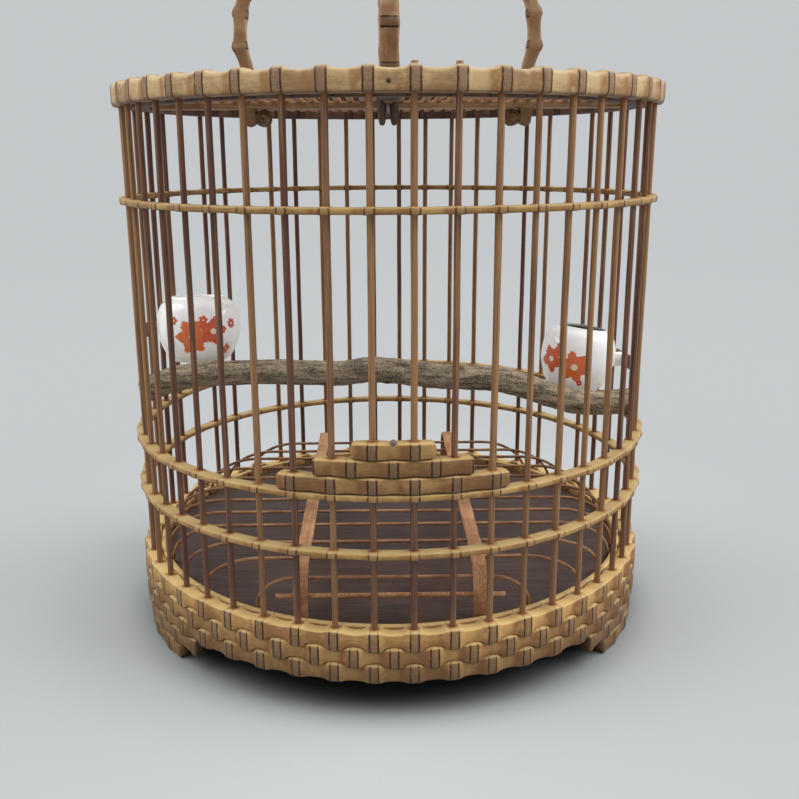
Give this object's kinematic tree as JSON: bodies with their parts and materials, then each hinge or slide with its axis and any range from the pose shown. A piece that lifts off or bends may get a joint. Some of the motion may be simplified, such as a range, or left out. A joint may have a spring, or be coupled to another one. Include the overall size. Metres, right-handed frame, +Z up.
{
  "type": "bird cage",
  "caption": "Round bamboo bird cage on short feet, with a lifting bar door, branch perch, porcelain cups, raised wire floor, slatted roof, and a crossed-bow handle with a swivel hook.",
  "frame": {"origin": "on the ground, at the axis of the round cage, level with the undersides of the feet", "axes": "+Z up along the cage's axis, the door faces -Y, +X to the right seen from the front"},
  "size_m": [0.3196, 0.3196, 0.4513],
  "materials": {
    "dark_bamboo": "polished, purple to reddish brown bamboo",
    "golden_bamboo": "satin golden tan bamboo with brown patches and nodes",
    "pale_bamboo": "satin pale tan bamboo with red-brown node lines",
    "slat_bamboo": "scraped pinkish tan bamboo",
    "bark": "rough grey-brown bark",
    "board": "dull dark stained board",
    "porcelain": "glossy white glaze with painted blooms",
    "brass": "polished, lightly tarnished"
  },
  "bodies": {
    "cage": {"base_skirt": "golden_bamboo", "floor_tray": "board", "hoop_lower": "golden_bamboo", "hoop_middle": "golden_bamboo", "hoop_upper": "golden_bamboo", "top_rim": "pale_bamboo", "door_sill": "golden_bamboo", "roof_grille": "slat_bamboo", "perch": "bark", "handle_bow_side": "pale_bamboo", "handle_bow_front": "pale_bamboo", "bar_01": "dark_bamboo", "bar_02": "dark_bamboo", "bar_03": "dark_bamboo", "bar_04": "dark_bamboo", "bar_05": "dark_bamboo", "bar_06": "dark_bamboo", "bar_07": "dark_bamboo", "bar_08": "dark_bamboo", "bar_09": "dark_bamboo", "bar_10": "dark_bamboo", "bar_11": "dark_bamboo", "bar_12": "dark_bamboo", "bar_13": "dark_bamboo", "bar_14": "dark_bamboo", "bar_15": "dark_bamboo", "bar_16": "dark_bamboo", "bar_17": "dark_bamboo", "bar_18": "dark_bamboo", "bar_19": "dark_bamboo", "bar_20": "dark_bamboo", "bar_21": "dark_bamboo", "bar_22": "dark_bamboo", "bar_23": "dark_bamboo", "bar_24": "dark_bamboo", "bar_25": "dark_bamboo", "bar_26": "dark_bamboo", "bar_27": "dark_bamboo", "bar_28": "dark_bamboo", "bar_29": "dark_bamboo", "bar_30": "dark_bamboo", "bar_31": "dark_bamboo", "bar_32": "dark_bamboo", "bar_33": "dark_bamboo", "bar_34": "dark_bamboo", "bar_35": "dark_bamboo", "bar_36": "dark_bamboo", "bar_37": "dark_bamboo", "bar_38": "dark_bamboo", "bar_39": "dark_bamboo", "bar_40": "dark_bamboo", "bar_41": "dark_bamboo", "bar_42": "dark_bamboo", "bar_43": "dark_bamboo", "bar_44": "dark_bamboo"},
    "door": {"door": "golden_bamboo"},
    "hook": {"hook": "brass"},
    "cup_left": {"cup_left": "porcelain"},
    "cup_right": {"cup_right": "porcelain"},
    "floor_grille": {"floor_grille": "slat_bamboo"}
  },
  "joints": [
    {"name": "door_lift", "type": "slide", "parent": "cage", "child": "door", "axis": [0, 0, 1], "range_m": [0, 0.1]},
    {"name": "hook_swivel", "type": "hinge", "parent": "cage", "child": "hook", "pos_m": [0, 0, 0.3938], "axis": [0, 0, 1], "continuous": true},
    {"name": "cup_left_slide", "type": "slide", "parent": "cage", "child": "cup_left", "axis": [0, 0, 1], "range_m": [0, 0.05]},
    {"name": "cup_right_slide", "type": "slide", "parent": "cage", "child": "cup_right", "axis": [0, 0, 1], "range_m": [0, 0.05]},
    {"name": "floor_grille_lift", "type": "slide", "parent": "cage", "child": "floor_grille", "axis": [0, 0, 1], "range_m": [0, 0.04]}
  ]
}
